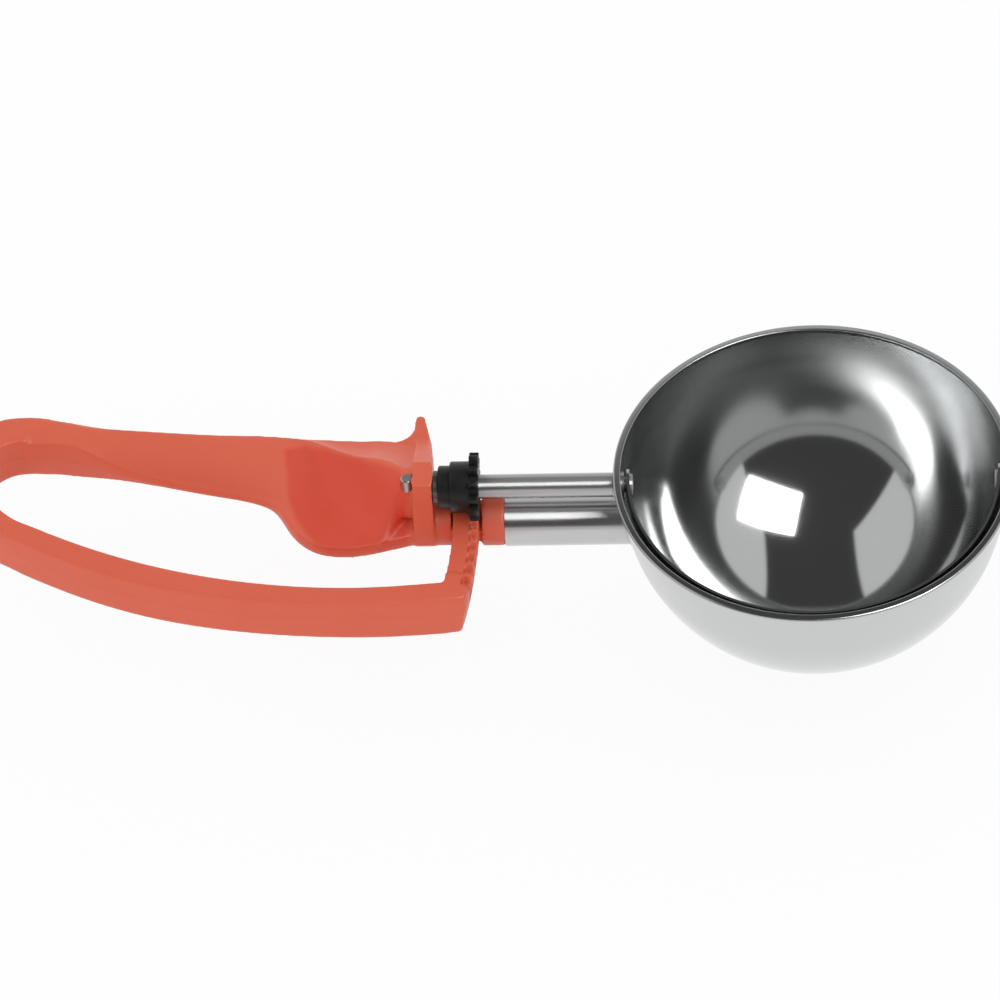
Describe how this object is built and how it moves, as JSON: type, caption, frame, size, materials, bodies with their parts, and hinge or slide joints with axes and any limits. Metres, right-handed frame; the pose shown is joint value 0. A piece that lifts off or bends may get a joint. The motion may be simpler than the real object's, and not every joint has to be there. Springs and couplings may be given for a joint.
{
  "type": "lever ice cream scoop",
  "caption": "Squeeze-handle ice cream scoop: one-piece plastic handle with a flexing lever whose rack turns a pinion, rod and scraper blade inside a steel bowl.",
  "frame": {"origin": "centre of the bowl's rim plane", "axes": "+Z out of the bowl's mouth, +X from the handle towards the bowl along the stem, the squeeze lever is on the -Y side"},
  "size_m": [0.2615, 0.0982, 0.0554],
  "materials": {
    "handle_plastic": "satin moulded, orange-red",
    "gear_plastic": "black moulded",
    "polished_steel": "mirror polished stainless steel",
    "machined_steel": "drawn and turned stainless steel"
  },
  "bodies": {
    "handle_and_bowl": {"grip": "handle_plastic", "flex_bend": "handle_plastic", "stem": "polished_steel", "stem_pin": "machined_steel", "stem_braze": "machined_steel", "bowl": "polished_steel", "shaft_bush": "machined_steel", "pivot_rivet": "machined_steel", "pivot_washer": "machined_steel"},
    "lever": {"squeeze_lever": "handle_plastic"},
    "scraper": {"drive_rod": "machined_steel", "pinion": "gear_plastic", "thrust_washer": "machined_steel", "scraper_blade": "polished_steel"}
  },
  "joints": [
    {"name": "lever_squeeze", "type": "hinge", "parent": "handle_and_bowl", "child": "lever", "pos_m": [-0.1965, -0.0059, -0.0166], "axis": [0, 0, 1], "range_deg": [0, 10], "stiffness_Nm_per_rad": 14, "deforming": ["flex_bend"]},
    {"name": "blade_sweep", "type": "hinge", "parent": "handle_and_bowl", "child": "scraper", "pos_m": [0, 0, -0.0042], "axis": [1, 0, 0], "range_deg": [0, 157.5]}
  ],
  "couplings": [
    {"joint": "blade_sweep", "follows": "lever_squeeze", "ratio": 15.75}
  ]
}
